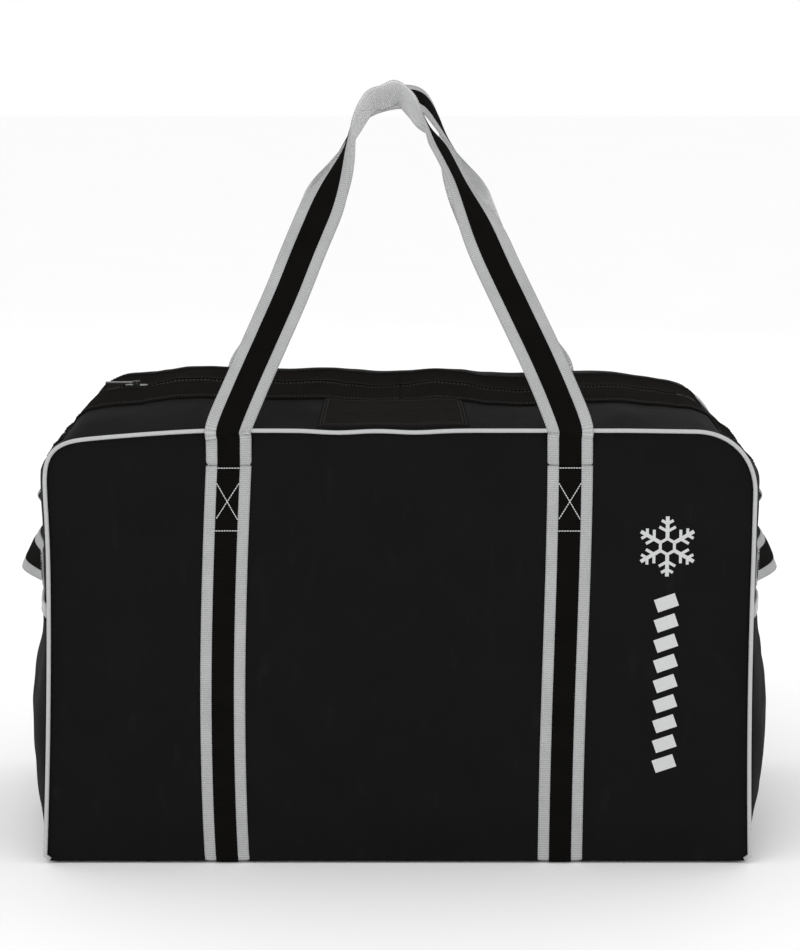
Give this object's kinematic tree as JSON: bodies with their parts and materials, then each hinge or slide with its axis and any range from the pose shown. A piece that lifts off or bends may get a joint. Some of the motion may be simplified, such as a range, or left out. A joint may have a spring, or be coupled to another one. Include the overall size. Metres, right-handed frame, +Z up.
{
  "type": "hockey equipment bag",
  "caption": "Large soft-sided carry bag with a zipped top, paired webbing carry handles, end grab handles and end pockets, for hauling hockey gear.",
  "frame": {"origin": "centre of the footprint, on the floor under the bag", "axes": "+X along the bag to the right as the front panel is faced, +Y from the front panel to the rear panel, +Z up"},
  "size_m": [0.892, 0.4482, 0.869],
  "materials": {
    "vinyl": "vinyl-coated fabric, near-black, satin",
    "woven_panel": "heavy woven nylon, warm black, matt",
    "webbing": "ribbed webbing, light grey",
    "webbing_stripe": "ribbed webbing, black",
    "piping": "light grey vinyl piping and binding",
    "zip": "black coil zip",
    "zip_metal": "dark nickel-plated zinc",
    "board": "black polyethylene sheet"
  },
  "bodies": {
    "bag_body": {"front_panel": "vinyl", "rear_panel": "vinyl", "bottom_panel": "vinyl", "base_board": "board", "left_end_panel": "vinyl", "right_end_panel": "vinyl", "left_shoulder_gusset": "vinyl", "right_shoulder_gusset": "vinyl", "left_shoulder_zip_panel": "woven_panel", "right_shoulder_zip_panel": "woven_panel", "left_zip_end": "zip", "right_zip_end": "zip", "front_piping": "piping", "rear_piping": "piping", "left_strap": "webbing", "right_strap": "webbing", "left_strap_stripe": "webbing_stripe", "right_strap_stripe": "webbing_stripe", "left_end_handle_patches": "webbing", "right_end_handle_patches": "webbing", "left_zip_tab": "webbing", "right_zip_tab": "webbing", "left_end_pocket": "vinyl", "right_end_pocket": "vinyl", "left_pocket_trim": "piping", "right_pocket_trim": "piping"},
    "front_lid": {"front_lid_gusset": "vinyl", "front_zip_panel": "woven_panel", "front_zip_tape": "zip", "name_panel": "woven_panel"},
    "rear_lid": {"rear_lid_gusset": "vinyl", "rear_zip_panel": "woven_panel", "rear_zip_tape": "zip"},
    "front_carry_handle": {"front_handle": "webbing", "front_handle_stripe": "webbing_stripe"},
    "rear_carry_handle": {"rear_handle": "webbing", "rear_handle_stripe": "webbing_stripe"},
    "left_grab_handle": {"left_end_handle": "webbing"},
    "right_grab_handle": {"right_end_handle": "webbing"},
    "slider": {"zip_slider": "zip_metal"},
    "pull": {"zip_pull": "zip_metal"}
  },
  "joints": [
    {"name": "front_lid_hinge", "type": "hinge", "parent": "bag_body", "child": "front_lid", "pos_m": [0, -0.214, 0.497], "axis": [1, 0, 0], "range_deg": [0, 50]},
    {"name": "rear_lid_hinge", "type": "hinge", "parent": "bag_body", "child": "rear_lid", "pos_m": [0, 0.214, 0.497], "axis": [-1, 0, 0], "range_deg": [0, 50]},
    {"name": "front_handle_hinge", "type": "hinge", "parent": "bag_body", "child": "front_carry_handle", "pos_m": [0, -0.2235, 0.46], "axis": [1, 0, 0], "range_deg": [0, 165]},
    {"name": "rear_handle_hinge", "type": "hinge", "parent": "bag_body", "child": "rear_carry_handle", "pos_m": [0, 0.2235, 0.46], "axis": [-1, 0, 0], "range_deg": [0, 165]},
    {"name": "left_end_handle_hinge", "type": "hinge", "parent": "bag_body", "child": "left_grab_handle", "pos_m": [-0.4065, 0, 0.351], "axis": [0, 1, 0], "range_deg": [0, 55]},
    {"name": "right_end_handle_hinge", "type": "hinge", "parent": "bag_body", "child": "right_grab_handle", "pos_m": [0.4065, 0, 0.351], "axis": [0, -1, 0], "range_deg": [0, 55]},
    {"name": "zip_slide", "type": "slide", "parent": "bag_body", "child": "slider", "axis": [1, 0, 0], "range_m": [0, 0.616]},
    {"name": "zip_pull_hinge", "type": "hinge", "parent": "slider", "child": "pull", "pos_m": [-0.308, 0, 0.5169], "axis": [0, 1, 0], "range_deg": [0, 150]}
  ]
}
